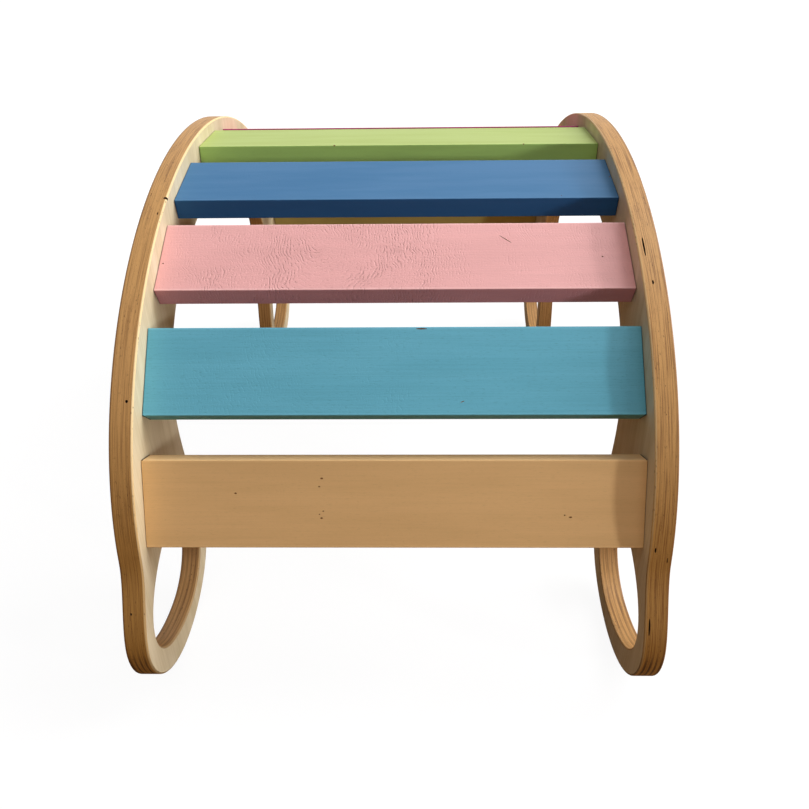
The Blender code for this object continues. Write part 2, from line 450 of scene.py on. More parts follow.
def finish_mesh(name: str, bm: BMesh) -> Mesh:
    """Turn a bmesh into a mesh whose flat faces look flat and roundings look smooth.

    Args:
        name: Name of the mesh.
        bm: The bmesh, which is freed.

    Returns:
        The mesh. At each corner the normals of the faces that turn little from it are
        mixed, by the area of everything that faces the same way.
    """
    bmesh.ops.recalc_face_normals(bm, faces=bm.faces)
    ways = {face: tuple(round(FACING_STEPS * part) for part in face.normal) for face in bm.faces}
    own: dict[tuple[int, ...], float] = {}
    for face, way in ways.items():
        face.smooth = True
        own[way] = own.get(way, 0.0) + face.calc_area()
    steps = list(product((-1, 0, 1), repeat=3))
    areas = {way: sum(own.get(tuple(map(sum, zip(way, step))), 0.0) for step in steps) for way in own}
    normals = []
    for face in bm.faces:
        for corner in face.loops:
            total = Vector()
            for other in corner.vert.link_faces:
                if other.normal.dot(face.normal) > SAME_SIDE:
                    total += other.normal * areas[ways[other]]
            normals.append(total.normalized() if total.length > 0 else Vector((0, 0, 1)))
    mesh = take_mesh(name, bm)
    mesh.normals_split_custom_set(normals)
    return mesh


def add_piece(name: str, mesh: Mesh, materials: list[Material], slot: Slot) -> Object:
    """Link a finished piece that stands for the CAD node of the same purpose.

    Args:
        name: The CAD node's name; the piece is named after it.
        mesh: The mesh, already in place.
        materials: Its materials, in the order of the mesh's material indices.
        slot: The record's slot that the finish belongs to; not used.

    Returns:
        The new object.
    """
    piece = add_object(f"{name}_finished", mesh)
    for material in materials:
        mesh.materials.append(material)
    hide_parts(name)
    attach(piece, "root")
    log.info("%s: %d faces", piece.name, len(mesh.polygons))
    return piece


@dataclass(frozen=True)
class VeneerFinish:
    """Lacquered rotary-cut birch veneer on the plywood's flats: cream, with faint upright streaks.

    The left side's veneer has painted light and shade: paler towards the feet and darker
    at the crown.
    """

    light: str = "DACCAE"
    dark: str = "C8B894"
    fleck: str = "A98A5E"
    streak_width: float = 1.5 * MM
    figure_width: float = 16 * MM
    fleck_size: float = 3.0 * MM
    pore_depth: float = 0.08 * MM
    painted_light_below: tuple[float, float] = (170 * MM, 330 * MM)
    painted_light_by: tuple[float, float] = (0.12, -0.08)

    def material(self) -> Material:
        """Mix the veneer.

        Returns:
            The material; its grain runs along Z.
        """
        shade = Shade("lacquered_birch_veneer")
        add, grain = shade.add, shade.grain
        coords = add(Kind.COORDINATES).outputs["Object"]
        fine = grain(coords, (1, 1, 0.025), self.streak_width, 4, 0.6)
        figure = grain(coords, (1, 1, 0.12), self.figure_width, 3, 0.5, 0.6)
        flecks = grain(coords, (1, 1, 0.25), self.fleck_size, 2, 0.5)
        share = add(Kind.ADD, add(Kind.MULTIPLY, fine, 0.5), add(Kind.MULTIPLY, figure, 0.5))
        colour = add(Kind.MIX, add(Kind.SMOOTH, share, 0.35, 0.68), linear(self.light), linear(self.dark))
        colour = add(Kind.MIX, add(Kind.SMOOTH, flecks, 0.70, 0.80, 0.0, 0.45), colour, linear(self.fleck))
        x, _, z = add(Kind.SPLIT, coords).outputs
        # Painted light and shade on the left side: paler towards the feet, darker towards the crown.
        painted_light_tone = shade.times(add(Kind.SMOOTH, z, *self.painted_light_below, *self.painted_light_by),
                           add(Kind.SMOOTH, x, *LEFT_TO_RIGHT, 1.0, 0.0))
        return shade.finish(
            Base_Color=add(Kind.TINT, 1.0, colour, add(Kind.ADD, painted_light_tone, 1.0)),
            Roughness=0.5, IOR=1.5, Specular_IOR_Level=0.3,
            Normal=add(Kind.BUMP, 0.3, self.pore_depth, None, fine))


@dataclass(frozen=True)
class PlyEdgeFinish:
    """Sanded and lacquered edge of birch plywood: brown, with fine streaks along the curve.

    Every other ply shows end grain. The stripes are faint where the edge was sanded
    well and plain round the bottom of the feet. Shade is painted on: browner towards the
    feet, most at the near end, on the right and where the edge is upright. Warm bounce
    light is painted on too: yellower low down at the near end. The hand holes' walls are
    spared part of the painted shade, so they are paler, and they are smoother higher up.
    """

    inner_face: float
    thickness: float
    long_grain: str = "CC9C60"
    end_grain: str = "2E1A0A"
    face_ply: str = "F0D4A0"
    deep: str = "6A3E16"
    pore: str = "3A2010"
    painted_bounce_tint: str = "FFFCD6"
    plies: int = 9
    skin: float = 1.4 * MM
    wobble: float = 0.35 * MM
    wave_length: float = 70 * MM
    streak_width: float = 0.8 * MM
    patch_width: float = 3 * MM
    dash_width: float = 0.8 * MM
    drawn_out: tuple[float, float, float] = (0.012, 0.06, 0.22)
    cloud_size: float = 12 * MM
    speckle_size: float = 0.6 * MM
    pore_size: float = 1.7 * MM
    streak_depth: float = 0.15 * MM
    rough_below: float = 54 * MM
    rough_step: float = 28 * MM
    foot_side: tuple[float, float] = (352 * MM, 370 * MM)
    hole_smooth_above: tuple[float, float] = (40 * MM, 75 * MM)
    fewer_lines_above: tuple[float, float] = (80 * MM, 280 * MM)
    inner_ply_above: tuple[float, float] = (130 * MM, 240 * MM)
    smooth_contrast: float = 0.07
    painted_shade_below: tuple[float, float] = (50 * MM, 310 * MM)
    painted_bounce_below: tuple[float, float] = (60 * MM, 330 * MM)

    def material(self) -> Material:
        """Mix the edge's wood.

        Returns:
            The material, read by depth along X and by distance along the curve.
        """
        shade = Shade("sanded_birch_plywood_edge")
        add, times = shade.add, shade.times
        deep, pore = linear(self.deep), linear(self.pore)
        coords = add(Kind.COORDINATES).outputs["Object"]
        x, y, z = add(Kind.SPLIT, coords).outputs
        along, turn, hole = (
            add(kind).outputs["Fac"] for kind in (Kind.ALONG, Kind.FACING_UP, Kind.IN_HOLE))
        lines = [add(Kind.JOIN, x, add(Kind.MULTIPLY, along, share)) for share in self.drawn_out]
        streak = add(Kind.NOISE, lines[0], 1 / self.streak_width, 4, 0.65)
        patch = add(Kind.NOISE, lines[1], 1 / self.patch_width, 3, 0.6)
        dash = add(Kind.NOISE, lines[2], 1 / self.dash_width, 1, 0.5)
        cloud = add(Kind.NOISE, coords, 1 / self.cloud_size, 3, 0.6)
        speckle = add(Kind.NOISE, coords, 1 / self.speckle_size, 2, 0.6)
        # The plies wave a little, and every other one is end grain.
        wave = add(Kind.SUBTRACT, add(Kind.NOISE, coords, 1 / self.wave_length, 2, 0.5), 0.5)
        depth = add(Kind.SUBTRACT, add(Kind.ABSOLUTE, x), self.inner_face)
        bent = add(Kind.MULTIPLY_ADD, wave, 4 * self.wobble, depth)
        ply = add(Kind.FRACT, add(Kind.DIVIDE, bent, 2 * self.thickness / self.plies))
        end_ply = add(Kind.SMOOTH, add(Kind.ABSOLUTE, add(Kind.SUBTRACT, ply, 0.5)), 0.24, 0.36)
        # How plainly the plies and streaks show: most low on the feet, least high in the holes.
        smoothed = times(hole, add(Kind.SMOOTH, z, *self.hole_smooth_above, 0.30, 0.75))
        eased = add(Kind.SUBTRACT, 1.0, smoothed)
        raised = add(Kind.SMOOTH, add(Kind.ABSOLUTE, y), *self.foot_side, 0.0, self.rough_step)
        height = add(Kind.SUBTRACT, z, raised)
        contrast = times(
            add(Kind.SMOOTH, height, self.rough_below / 2, self.rough_below, 0.90, self.smooth_contrast),
            add(Kind.SMOOTH, patch, 0.35, 0.6, 0.7, 1.0),
            add(Kind.SMOOTH, turn, 0.2, 0.9, 1.0, 0.55),
            eased)
        drawn = times(
            add(Kind.SMOOTH, streak, 0.46, 0.62),
            add(Kind.SMOOTH, z, *self.fewer_lines_above, 0.62, 0.52),
            add(Kind.SMOOTH, x, *LEFT_TO_RIGHT, 0.85, 1.2),
            eased)
        # Painted shade: browner towards the feet, more so on the right, at the near end and where
        # the edge is upright; the hand holes are spared part of it.
        spared_from_painted_shade = times(hole, add(Kind.SMOOTH, x, *LEFT_TO_RIGHT, -0.15, 0.62))
        painted_shade = times(
            add(Kind.SMOOTH, z, *self.painted_shade_below, 0.47, 0.0),
            add(Kind.SMOOTH, turn, 0.1, 0.6, 1.0, 0.3),
            add(Kind.SMOOTH, x, *LEFT_TO_RIGHT, 0.95, 1.25),
            add(Kind.SMOOTH, y, *NEAR_TO_FAR, 1.0, 0.3),
            add(Kind.SUBTRACT, 1.0, spared_from_painted_shade))
        # Painted warm bounce light: a yellower tint low down, mostly at the near end, not in the holes.
        painted_bounce = add(Kind.SUBTRACT, add(Kind.SMOOTH, z, *self.painted_bounce_below, 1.0, 0.0), hole)
        painted_bounce = times(add(Kind.MAXIMUM, painted_bounce, 0.0), add(Kind.SMOOTH, y, *NEAR_TO_FAR, 1.0, 0.1))
        # Next to the outer face the edge is made darker, and the inner face's ply shows as a pale rim.
        left = add(Kind.SUBTRACT, self.thickness, depth)
        rim = add(Kind.SMOOTH, left, 0.6 * self.skin, 1.6 * self.skin, 0.55, 0.0)
        skin_shown = times(add(Kind.SMOOTH, z, *self.inner_ply_above, 0.35, 0.90),
                           add(Kind.SMOOTH, x, *LEFT_TO_RIGHT, 1.0, 0.55))
        skins = times(add(Kind.SMOOTH, depth, 0.7 * self.skin, 1.2 * self.skin, 1.0, 0.0), skin_shown)
        dashes = times(add(Kind.SMOOTH, dash, 0.62, 0.72, 0.0, 0.6), add(Kind.SMOOTH, patch, 0.46, 0.60))
        pores = shade.grain(coords, (1, 0.35, 0.35), self.pore_size, 1, 0.5)
        colour = linear(self.long_grain)
        for share, over in (
                (drawn, deep),
                (times(add(Kind.SMOOTH, patch, 0.54, 0.74, 0.0, 0.32), eased), deep),
                (add(Kind.SMOOTH, cloud, 0.55, 0.78, 0.0, 0.18), deep),
                (add(Kind.SMOOTH, speckle, 0.55, 0.78, 0.0, 0.35), deep),
                (painted_shade, deep)):
            colour = add(Kind.MIX, share, colour, over)
        colour = add(Kind.TINT, painted_bounce, colour, linear(self.painted_bounce_tint))
        for share, over in (
                (times(end_ply, contrast), linear(self.end_grain)),
                (rim, deep),
                (skins, linear(self.face_ply)),
                (dashes, pore),
                (add(Kind.SMOOTH, pores, 0.76, 0.82, 0.0, 0.7), pore)):
            colour = add(Kind.MIX, share, colour, over)
        relief = add(Kind.MULTIPLY, streak, add(Kind.MULTIPLY, eased, -1.0))
        return shade.finish(Base_Color=colour, Roughness=0.5, IOR=1.5, Specular_IOR_Level=0.3,
                            Normal=add(Kind.BUMP, 0.4, self.streak_depth, None, relief))


@dataclass(frozen=True)
class Hollow:
    """A small hollow in a surface: a void between plies, a chip or a nick.

    The place is in millimetres: on a side, the depth from the inner face and Y and Z
    of the edge; on a slat, X and distance across its outer face.
    """

    place: tuple[float, ...]
    length: float
    width: float
    depth: float
    turn: float = 0.0


@dataclass(frozen=True)
class SidePanel:
    """One plywood side: an arch band with a looped foot and a hand hole at both ends."""

    arch: Arch
    side: Side
    void_slot: int = 2
    flare: float = 0.0248
    flare_ease: float = 0.025
    tip_height: float = 0.068
    rest_from_tip: float = 0.092
    heel_step: float = 0.0205
    heel_height: float = 0.052
    heel_ease: float = 0.045
    hole_tip_wall: float = 0.0196
    hole_heel_wall: float = 0.0212
    hole_floor_wall: float = 0.0205
    hole_tip_height: float = 0.070
    hole_heel_height: float = 0.062
    hole_top_height: float = 0.128
    hole_floor_shift: float = 0.013
    hole_top_shift: float = 0.025
    edge_round: float = 0.0014
    edge_segments: int = 5
    curve_steps: int = 18
    arc_knots: int = 3
    screw_hole_radius: float = 0.0053
    screw_hole_sides: int = 24
    screw_margin: float = 1.2
    quarter_reach: float = 4 / 3 * math.tan(math.pi / 8)

    @property
    def name(self) -> str:
        """Name of the CAD node it stands for."""
        return f"side_panel_{self.side.name.lower()}"

    @property
    def tip_y(self) -> float:
        """Distance from the middle of the rocker to the tip of a foot."""
        return self.arch.half_span + self.flare

    @property
    def rest_y(self) -> float:
        """Distance from the middle of the rocker to where a foot rests on the floor."""
        return self.tip_y - self.rest_from_tip

    @property
    def heel_y(self) -> float:
        """Distance from the middle of the rocker to the heel of a foot."""
        return self.arch.inner_half - self.heel_step

    def hollows(self) -> list[Matrix]:
        """Find the open voids in the plies and the chipped edge.

        Returns:
            For each hollow, the placement and half sizes of its cutter.
        """
        found = {
            Side.LEFT: (
                Hollow((1.0, -154.6, 362.2), 3.0, 4.4, 3.0, 30),
                Hollow((5.0, -311.9, 257.2), 2.4, 2.2, 4.0, 50),
                Hollow((3.8, -173.7, 355.2), 3.4, 1.0, 2.0, 25),
                Hollow((11.0, -377.9, 104.2), 2.2, 1.6, 3.0, 62),
                Hollow((14.5, -150.0, 364.0), 5.0, 0.6, 1.2, 24),
                Hollow((10.2, 240.0, 320.8), 7.0, 0.7, 2.0, -34),
            ),
            Side.RIGHT: (
                Hollow((5.3, -210.8, 338.1), 21.0, 1.5, 5.0, 29),
                Hollow((7.6, -241.0, 320.3), 4.0, 1.5, 3.0, 36),
                Hollow((3.6, -382.0, 96.0), 15.0, 1.3, 4.0, 67),
                Hollow((4.4, -360.8, 155.1), 4.5, 1.3, 3.0, 80),
                Hollow((14.3, -362.3, 146.4), 5.0, 0.7, 1.5, 82),
                Hollow((12.0, 300.0, 271.0), 9.0, 0.8, 2.0, -48),
            ),
        }[self.side]
        marks = []
        for hollow in found:
            depth, y, z = (value * MM for value in hollow.place)
            x = self.side.value * (self.arch.gap / 2 + depth)
            half = Matrix.Diagonal((hollow.width * MM / 2, hollow.length * MM / 2, hollow.depth * MM, 1))
            turn = Matrix.Rotation(math.radians(hollow.turn), 4, "X")
            marks.append(Matrix.Translation((x, y, z)) @ turn @ half)
        return marks

    def arc(self, half_span: float, rise: float, height: float, start: float, end: float) -> list[Knot]:
        """Lay out part of an ellipse at the near end.

        Args:
            half_span: Half axis along Y.
            rise: Half axis along Z.
            height: Z of the middle.
            start: First angle, in degrees from the crown towards the near end.
            end: Last angle.

        Returns:
            Bezier knots from the first angle to the last.
        """
        step = math.radians(end - start) / self.arc_knots
        reach = 4 / 3 * math.tan(step / 4)
        knots = []
        for index in range(self.arc_knots + 1):
            angle = math.radians(start) + index * step
            point = Vector((-half_span * math.sin(angle), height + rise * math.cos(angle)))
            along = Vector((-half_span * math.cos(angle), -rise * math.sin(angle))) * reach
            knots.append((point, point - along, point + along))
        return knots

    def half_outline(self) -> list[Knot]:
        """Lay out the near half of the edge.

        Returns:
            Knots from the outer crown round the foot to the inner crown.
        """
        arch = self.arch
        quarter = self.quarter_reach
        crown = arch.spring_height + arch.rise
        inner_rise = crown - arch.band_at_crown - arch.inner_spring_height
        outer = self.arc(arch.half_span, arch.rise, arch.spring_height, 0, arch.end_angle)
        inner = self.arc(arch.inner_half, inner_rise, arch.inner_spring_height, 90, 0)
        point, before, after = outer[-1]
        outer[-1] = (point, before, point + (after - point).normalized() * self.flare_ease)
        point, before, after = inner[0]
        inner[0] = (point, point - Vector((0, self.heel_ease)), after)
        tip = Vector((-self.tip_y, self.tip_height))
        rest = Vector((-self.rest_y, 0))
        heel = Vector((-self.heel_y, self.heel_height))
        foot = [
            (tip, tip + Vector((0, self.flare_ease)), tip - Vector((0, self.tip_height * quarter))),
            (rest, rest - Vector((self.rest_from_tip * quarter, 0)),
             rest + Vector(((self.rest_y - self.heel_y) * quarter, 0))),
            (heel, heel - Vector((0, self.heel_height * quarter)), heel + Vector((0, self.heel_ease))),
        ]
        return outer + foot + inner

    def hole_knots(self) -> list[Knot]:
        """Lay out the near hand hole.

        Returns:
            Its four knots: tip, floor, heel and top.
        """
        tip = Vector((-self.tip_y + self.hole_tip_wall, self.hole_tip_height))
        heel = Vector((-self.heel_y - self.hole_heel_wall, self.hole_heel_height))
        floor = Vector((-self.rest_y + self.hole_floor_shift, self.hole_floor_wall))
        top = Vector((-self.rest_y + self.hole_top_shift, self.hole_top_height))
        up = Vector((0, self.quarter_reach))
        out = Vector((-self.quarter_reach, 0))
        return [
            (tip, tip + up * (top.y - tip.y), tip - up * (tip.y - floor.y)),
            (floor, floor + out * (floor.x - tip.x), floor - out * (heel.x - floor.x)),
            (heel, heel - up * (heel.y - floor.y), heel + up * (top.y - heel.y)),
            (top, top - out * (heel.x - top.x), top + out * (top.x - tip.x)),
        ]

    def mirrored(self, knots: list[Knot]) -> list[Knot]:
        """The same knots at the far end, in the opposite order."""
        flip = Vector((-1, 1))
        return [(p * flip, after * flip, before * flip) for p, before, after in reversed(knots)]

    def curve_points(self, knots: list[Knot]) -> list[Vector]:
        """Follow a closed Bezier curve.

        Args:
            knots: The curve's knots.

        Returns:
            Points along it, with Y and Z in their first two places.
        """
        points = []
        for here, following in zip(knots, knots[1:] + knots[:1]):
            piece = interpolate_bezier(here[0], here[2], following[1], following[0], self.curve_steps + 1)
            points += [Vector((p[0], p[1], 0)) for p in piece[:-1]]
        return points

    def curves(self) -> list[list[Vector]]:
        """Follow every curve of the side but the screw holes.

        Returns:
            Points round the outline, then round each of the two hand holes.
        """
        half, hole = self.half_outline(), self.hole_knots()
        knots = (half + self.mirrored(half)[1:-1], hole, self.mirrored(hole))
        return [self.curve_points(closed) for closed in knots]

    def screw_circles(self) -> list[list[Vector]]:
        """Lay out the screw holes.

        Returns:
            Points round each hole.
        """
        turns = [2 * math.pi * index / self.screw_hole_sides for index in range(self.screw_hole_sides)]
        circles = []
        for y, z in self.arch.screw_places():
            rays = (Vector((math.cos(turn), math.sin(turn), 0)) for turn in turns)
            circles.append([Vector((y, z, 0)) + ray * self.screw_hole_radius for ray in rays])
        return circles

    def mesh(self) -> Mesh:
        """Fill the side from its outline, give it its thickness and round every edge.

        Returns:
            The mesh in place.
        """
        bm = bmesh.new()
        edges = []
        for points in self.curves() + self.screw_circles():
            edges += close_loop(bm, points)
        bmesh.ops.triangle_fill(bm, use_beauty=True, use_dissolve=False, edges=edges, normal=(0, 0, 1))
        grown = bmesh.ops.extrude_face_region(bm, geom=list(bm.faces))
        moved = [item for item in grown["geom"] if isinstance(item, BMVert)]
        bmesh.ops.translate(bm, verts=moved, vec=(0, 0, self.arch.thickness))
        bmesh.ops.recalc_face_normals(bm, faces=bm.faces)
        rims = [edge for edge in bm.edges if self.is_rim(edge)]
        round_edges(bm, rims, self.edge_round, self.edge_segments)
        upright = Matrix(((0, 0, 1, 0), (1, 0, 0, 0), (0, 1, 0, 0), (0, 0, 0, 1)))
        inner = self.arch.gap / 2 if self.side is Side.RIGHT else -self.arch.outer_face
        bmesh.ops.transform(bm, matrix=Matrix.Translation((inner, 0, 0)) @ upright, verts=bm.verts)
        bmesh.ops.recalc_face_normals(bm, faces=bm.faces)
        mesh = finish_mesh(self.name, carve(bm, self.hollows(), self.void_slot))
        self.mark_edges(mesh)
        return mesh

    def is_rim(self, edge: BMEdge) -> bool:
        """Tell the edges that are rounded.

        Args:
            edge: An edge of the flat side, which still lies on the floor.

        Returns:
            Whether it lies between a flat face and a curved wall, away from the screws.
        """
        if len(edge.link_faces) != 2 or edge.calc_length() == 0:
            return False
        wall, flat = sorted(abs(face.normal.z) for face in edge.link_faces)
        return wall < 0.5 < flat and not self.near_screw(edge)

    def near_screw(self, edge: BMEdge) -> bool:
        """Tell the edges of the screw holes.

        Args:
            edge: An edge of the flat side.

        Returns:
            Whether it belongs to a screw hole.
        """
        middle = ((edge.verts[0].co + edge.verts[1].co) / 2).to_2d()
        reach = self.screw_margin * self.screw_hole_radius
        return any((middle - Vector(place)).length < reach for place in self.arch.screw_places())

    def mark_edges(self, mesh: Mesh) -> None:
        """Give the cut edges their material, and say how and where each point of them lies.

        facing_up is 1 where the edge faces up or down and 0 where it is upright;
        along is the distance round the curve in metres; in_hole is 1 in the hand holes.

        Args:
            mesh: The side's mesh in place.
        """
        for face in mesh.polygons:
            if face.material_index != self.void_slot:
                face.material_index = 1 if abs(face.normal.x) < FULLY else 0
        curves = self.curves()
        tree = KDTree(sum(len(points) for points in curves))
        reach: list[float] = []
        turn: list[float] = []
        inside: list[float] = []
        for points in curves:
            run = 0.0
            for here, last, ahead in zip(points, points[-1:] + points[:-1], points[1:] + points[:1]):
                run += 0.0 if here is points[0] else (here - last).length
                tree.insert(here, len(reach))
                reach.append(run)
                turn.append((ahead - last).normalized()[0] ** 2)
                inside.append(0.0 if points is curves[0] else 1.0)
        tree.balance()
        nearest = [tree.find((vertex.co.y, vertex.co.z, 0))[1] for vertex in mesh.vertices]
        for name, values in (("along", reach), ("facing_up", turn), ("in_hole", inside)):
            attribute = mesh.attributes.new(name, "FLOAT", "POINT")
            attribute.data.foreach_set("value", [values[found] for found in nearest])

    def build(self, face: Material, edge: Material, void: Material) -> Object:
        """Build and dress the side.

        Args:
            face: Material of the flat faces.
            edge: Material of the cut edges.
            void: Material inside the open voids, made very dark as painted shade.

        Returns:
            The finished side.
        """
        return add_piece(self.name, self.mesh(), [face, edge, void], Slot.PLYWOOD)


@dataclass(frozen=True)
class BareWoodFinish:
    """Raw wood inside a nick or an open void: brown and dull, with fine fibres. Inside the
    open voids it is made very dark as painted shade.
    """

    name: str
    light: str
    dark: str
    fibre: float = 0.4 * MM
    fibre_depth: float = 0.1 * MM

    def material(self) -> Material:
        """Mix the bare wood.

        Returns:
            The material; its fibres lie along X.
        """
        shade = Shade(self.name)
        add = shade.add
        coords = add(Kind.COORDINATES).outputs["Object"]
        fibres = shade.grain(coords, (0.1, 1, 1), self.fibre, 3, 0.6)
        colour = add(Kind.MIX, add(Kind.SMOOTH, fibres, 0.35, 0.65), linear(self.light), linear(self.dark))
        return shade.finish(Base_Color=colour, Roughness=0.75, IOR=1.5, Specular_IOR_Level=0.3,
                            Normal=add(Kind.BUMP, 0.4, self.fibre_depth, None, fibres))


@dataclass(frozen=True)
class BoardFinish:
    """Satin coat on a planed board; the grain stands up a little through it.

    The growth rings lie round a heart on the outer face. They show where the
    coat is thin. The long edges have a colour of their own, which stands partly for
    the light and shade that fall on them.
    A fine dark line is painted at each end as the shadow in the joint, and
    open_edge says at which long edge, 1 or -1, the joint also stands open, where
    a broader painted shadow lies. A zone or an end is measured inwards from the
    slat's edge or end.
    """

    slot: Slot
    kind: str
    colour: str
    edge: str
    rings: float = 0.10
    ring_width: float = 2.9 * MM
    heart: tuple[float, float] = (-62 * MM, 22 * MM)
    ring_shape: tuple[float, float, float] = (1.15, 0.55, 0)
    ring_reach: float = 100 * MM
    bend_size: float = 42 * MM
    bend_by: float = 30 * MM
    waver_size: float = 9 * MM
    waver_by: float = 7 * MM
    break_size: float = 2.0 * MM
    region_size: float = 30 * MM
    cloud_size: float = 16 * MM
    brush: float = 0.20
    brush_width: float = 1.1 * MM
    pores: float = 0.12
    pore_width: float = 0.7 * MM
    fibre_width: float = 0.7 * MM
    relief: float = 0.35
    relief_depth: float = 0.25 * MM
    roughness: float = 0.52
    edge_zone: tuple[float, float] = (0.1 * MM, 0.4 * MM)
    arris_highlight: float = 0.35
    rub_highlight_zone: tuple[float, float] = (0.2 * MM, 0.5 * MM)
    rub_highlight_end: tuple[float, float] = (1.4 * MM, 2.2 * MM)
    joint_shadow: float = 0.4
    joint_zone: tuple[float, float] = (0.4 * MM, 0.9 * MM)
    gap: float = 0.92
    gap_zone: tuple[float, float] = (1.1 * MM, 1.6 * MM)
    gap_edge: tuple[float, float] = (0.2 * MM, 0.8 * MM)
    open_edge: int = 0
    joint_shadow_colour: str = "16120E"
    seed: float = 0.0

    def material(self, arch: Arch, place: Matrix) -> Material:
        """Mix the coat, whose pattern lies along the slat.

        Args:
            arch: The sizes, for the slat's width and length.
            place: The slat's placement, which the pattern follows.

        Returns:
            The material.
        """
        shade = Shade(f"{self.kind}_{self.slot.name.lower()}")
        add, times, grain = shade.add, shade.times, shade.grain
        back = place.inverted()
        coords = add(Kind.COORDINATES).outputs["Object"]
        local = add(Kind.PLACE, coords, tuple(back.translation), tuple(back.to_euler()))
        board = add(Kind.SHIFT, local, (self.seed, 0, 0))
        x, y, _ = add(Kind.SPLIT, local).outputs
        base, deep = linear(self.colour), toned(self.colour, 0.80)
        # Broad clouds and brush marks in the coat.
        cloud = grain(board, (0.12, 1, 1), self.cloud_size, 3, 0.55)
        brush = grain(board, (0.012, 1, 1), self.brush_width, 4, 0.65)
        clouded = add(Kind.SMOOTH, cloud, 0.3, 0.7)
        colour = add(Kind.MIX, clouded, toned(self.colour, 1.06, 0.01), base)
        colour = add(Kind.MIX, times(add(Kind.SMOOTH, brush, 0.40, 0.70), self.brush), colour, deep)
        # Growth rings round the heart.
        centred = add(Kind.CENTRE, local, (*self.heart, 0))
        away = add(Kind.LENGTH, add(Kind.STRETCH, centred, self.ring_shape))
        bend = grain(board, (0.6, 1, 1), self.bend_size, 3, 0.5)
        waver = add(Kind.NOISE, board, 1 / self.waver_size, 2, 0.5)
        bent = add(Kind.MULTIPLY_ADD, bend, self.bend_by, away)
        bent = add(Kind.MULTIPLY_ADD, waver, self.waver_by, bent)
        phase = add(Kind.FRACT, add(Kind.DIVIDE, bent, self.ring_width))
        ridge = add(Kind.ABSOLUTE, add(Kind.SUBTRACT, phase, 0.5))
        broken = add(Kind.NOISE, board, 1 / self.break_size, 3, 0.65)
        region = add(Kind.NOISE, board, 1 / self.region_size, 2, 0.5)
        length = add(Kind.ABSOLUTE, add(Kind.SUBTRACT, x, self.heart[0]))
        near = add(Kind.SMOOTH, length, self.ring_reach * 0.6, self.ring_reach * 1.3, 1.0, 0.25)
        shown = times(near, add(Kind.SMOOTH, region, 0.38, 0.62, 0.2, 1.0))
        groove = times(add(Kind.SMOOTH, ridge, 0.22, 0.44), add(Kind.SMOOTH, broken, 0.45, 0.60), shown)
        colour = add(Kind.MIX, times(groove, self.rings), colour, deep)
        # The long edges, and along their arrises a paler line: the coat rubbed thin, and a painted
        # highlight.
        half = arch.slat_width / 2
        inward = add(Kind.SUBTRACT, half, add(Kind.ABSOLUTE, y))
        # The edge colour is partly painted light and shade on the long edges.
        edge = add(Kind.MIX, clouded, linear(self.edge), toned(self.edge, 0.88))
        colour = add(Kind.MIX, add(Kind.SMOOTH, inward, *self.edge_zone, 1.0, 0.0), colour, edge)
        rub_and_highlight = times(
            add(Kind.SMOOTH, inward, *self.rub_highlight_end, 1.0, 0.0),
            add(Kind.SMOOTH, inward, *self.rub_highlight_zone),
            add(Kind.SMOOTH, brush, 0.30, 0.60, 0.4, 1.0))
        colour = add(Kind.MIX, times(rub_and_highlight, self.arris_highlight), colour, toned(self.colour, 1.25, 0.05))
        pores = grain(board, (0.16, 1, 1), self.pore_width, 2, 0.6)
        pores = add(Kind.SMOOTH, pores, 0.56, 0.72, 0.0, self.pores)
        colour = add(Kind.MIX, pores, colour, toned(self.colour, 0.55))
        # The joints at the ends: painted shadow.
        inward = add(Kind.SUBTRACT, arch.slat_length / 2, add(Kind.ABSOLUTE, x))
        dark = add(Kind.SMOOTH, inward, *self.joint_zone, self.joint_shadow, 0.0)
        if self.open_edge:
            inside = add(Kind.SUBTRACT, half, times(y, self.open_edge))
            on_side = add(Kind.SMOOTH, inside, *self.gap_edge, 1.0, 0.0)
            # Where the joint stands open the painted shadow is darker and reaches further in.
            gap = add(Kind.SMOOTH, inward, *self.gap_zone, self.gap, 0.0)
            dark = add(Kind.MAXIMUM, dark, times(gap, on_side))
        colour = add(Kind.MIX, dark, colour, linear(self.joint_shadow_colour))
        fibres = times(grain(board, (0.25, 1, 1), self.fibre_width, 3, 0.6), times(near, 0.45))
        height = add(Kind.MULTIPLY_ADD, brush, 2 * self.brush, add(Kind.SUBTRACT, fibres, pores))
        height = add(Kind.SUBTRACT, height, groove)
        return shade.finish(
            Base_Color=colour, IOR=1.5, Specular_IOR_Level=0.3,
            Roughness=add(Kind.SMOOTH, cloud, 0.3, 0.7, self.roughness - 0.04, self.roughness + 0.04),
            Normal=add(Kind.BUMP, self.relief, self.relief_depth, None, height))


